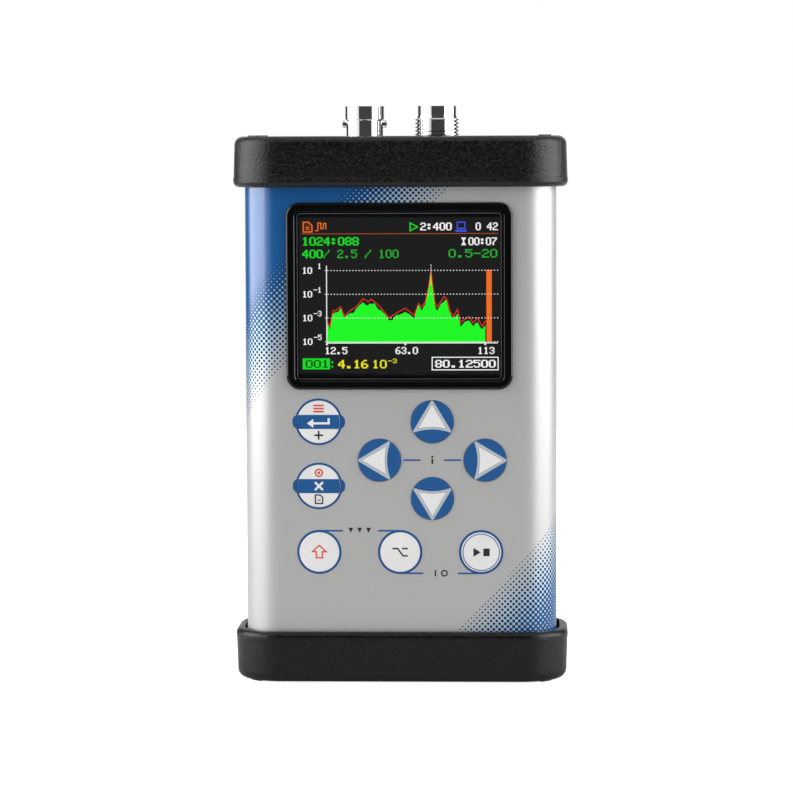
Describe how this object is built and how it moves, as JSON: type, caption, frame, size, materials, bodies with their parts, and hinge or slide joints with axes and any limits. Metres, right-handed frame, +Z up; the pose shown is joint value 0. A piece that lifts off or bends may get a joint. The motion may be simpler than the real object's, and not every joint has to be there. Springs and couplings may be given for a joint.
{
  "type": "handheld vibration meter",
  "caption": "Handheld vibration meter: an extruded case in rubber bumpers, with a colour display, round keys, two coax jacks on top and a battery door behind.",
  "frame": {"origin": "middle of the base, on the surface that the lower bumper's feet stand on", "axes": "+Z up towards the jacks, -Y out of the display and keys, +X to the right as the display is read"},
  "size_m": [0.083, 0.0338, 0.1424],
  "materials": {
    "case_metal": "satin",
    "print_foil": "satin",
    "bumper_rubber": "matte",
    "panel_metal": "satin",
    "gasket_rubber": "matte",
    "screw_steel": "satin",
    "bezel_plastic": "gloss",
    "lens_clear": "gloss",
    "display_face": "gloss",
    "frame_steel": "satin",
    "foam": "matte",
    "carrier_plastic": "matte",
    "cable_film": "satin",
    "jack_chrome": "polished",
    "insulator_white": "satin",
    "contact_gold": "polished",
    "board_green": "satin",
    "chip_black": "matte",
    "connector_white": "satin",
    "key_white": "satin",
    "key_blue": "satin",
    "guide_plastic": "matte",
    "box_plastic": "matte",
    "spring_steel": "satin",
    "cell_sleeve": "gloss",
    "card_plastic": "satin"
  },
  "bodies": {
    "instrument": {"housing": "case_metal", "front_overlay": "print_foil", "top_bumper": "bumper_rubber", "bottom_bumper": "bumper_rubber", "top_gasket": "gasket_rubber", "bottom_gasket": "gasket_rubber", "top_panel": "panel_metal", "bottom_panel": "panel_metal", "top_screws": "screw_steel", "bottom_screws": "screw_steel", "display_bezel": "bezel_plastic", "display_lens": "lens_clear", "display_seal": "foam", "display_frame": "frame_steel", "display_glass": "display_face", "display_carrier": "carrier_plastic", "display_cable": "cable_film", "bayonet_shell": "jack_chrome", "bayonet_insulator": "insulator_white", "bayonet_contact": "contact_gold", "bayonet_washer": "jack_chrome", "bayonet_nut": "jack_chrome", "threaded_shell": "jack_chrome", "threaded_insulator": "insulator_white", "threaded_contact": "contact_gold", "threaded_washer": "jack_chrome", "threaded_nut": "jack_chrome", "main_board": "board_green", "board_chips": "chip_black", "backup_cell": "jack_chrome", "input_shield": "frame_steel", "board_connectors": "connector_white", "board_screws": "screw_steel", "usb_socket": "frame_steel", "card_socket": "frame_steel", "key_guide": "guide_plastic", "key_board": "board_green", "key_switches": "chip_black", "key_board_screws": "screw_steel", "key_cable": "cable_film", "battery_box": "box_plastic", "contact_plates": "spring_steel", "leaf_springs": "spring_steel", "cell_1": "cell_sleeve", "cell_2": "cell_sleeve", "cell_3": "cell_sleeve", "cell_4": "cell_sleeve", "hinge_pin": "screw_steel"},
    "confirm_key": {"key_confirm": "key_white"},
    "cancel_key": {"key_cancel": "key_white"},
    "up_key": {"key_up": "key_blue"},
    "down_key": {"key_down": "key_blue"},
    "left_key": {"key_left": "key_blue"},
    "right_key": {"key_right": "key_blue"},
    "shift_key": {"key_shift": "key_white"},
    "alt_key": {"key_alt": "key_white"},
    "start_key": {"key_start": "key_white"},
    "card": {"memory_card": "card_plastic"},
    "door": {"battery_door": "case_metal"},
    "door_fastener": {"door_screw": "screw_steel"}
  },
  "joints": [
    {"name": "confirm_press", "type": "slide", "parent": "instrument", "child": "confirm_key", "axis": [0, 1, 0], "range_m": [0, 0.0004], "stiffness_N_per_m": 1500, "springref_m": -0.0002},
    {"name": "cancel_press", "type": "slide", "parent": "instrument", "child": "cancel_key", "axis": [0, 1, 0], "range_m": [0, 0.0004], "stiffness_N_per_m": 1500, "springref_m": -0.0002},
    {"name": "up_press", "type": "slide", "parent": "instrument", "child": "up_key", "axis": [0, 1, 0], "range_m": [0, 0.0004], "stiffness_N_per_m": 1500, "springref_m": -0.0002},
    {"name": "down_press", "type": "slide", "parent": "instrument", "child": "down_key", "axis": [0, 1, 0], "range_m": [0, 0.0004], "stiffness_N_per_m": 1500, "springref_m": -0.0002},
    {"name": "left_press", "type": "slide", "parent": "instrument", "child": "left_key", "axis": [0, 1, 0], "range_m": [0, 0.0004], "stiffness_N_per_m": 1500, "springref_m": -0.0002},
    {"name": "right_press", "type": "slide", "parent": "instrument", "child": "right_key", "axis": [0, 1, 0], "range_m": [0, 0.0004], "stiffness_N_per_m": 1500, "springref_m": -0.0002},
    {"name": "shift_press", "type": "slide", "parent": "instrument", "child": "shift_key", "axis": [0, 1, 0], "range_m": [0, 0.0004], "stiffness_N_per_m": 1500, "springref_m": -0.0002},
    {"name": "alt_press", "type": "slide", "parent": "instrument", "child": "alt_key", "axis": [0, 1, 0], "range_m": [0, 0.0004], "stiffness_N_per_m": 1500, "springref_m": -0.0002},
    {"name": "start_press", "type": "slide", "parent": "instrument", "child": "start_key", "axis": [0, 1, 0], "range_m": [0, 0.0004], "stiffness_N_per_m": 1500, "springref_m": -0.0002},
    {"name": "card_slide", "type": "slide", "parent": "instrument", "child": "card", "axis": [0, 0, 1], "range_m": [0, 0.014]},
    {"name": "door_hinge", "type": "hinge", "parent": "instrument", "child": "door", "pos_m": [0, 0.0126, 0.016], "axis": [-1, 0, 0], "range_deg": [0, 95]},
    {"name": "door_screw_turn", "type": "hinge", "parent": "door", "child": "door_fastener", "pos_m": [0, 0.01375, 0.0735], "axis": [0, 1, 0], "continuous": true}
  ]
}
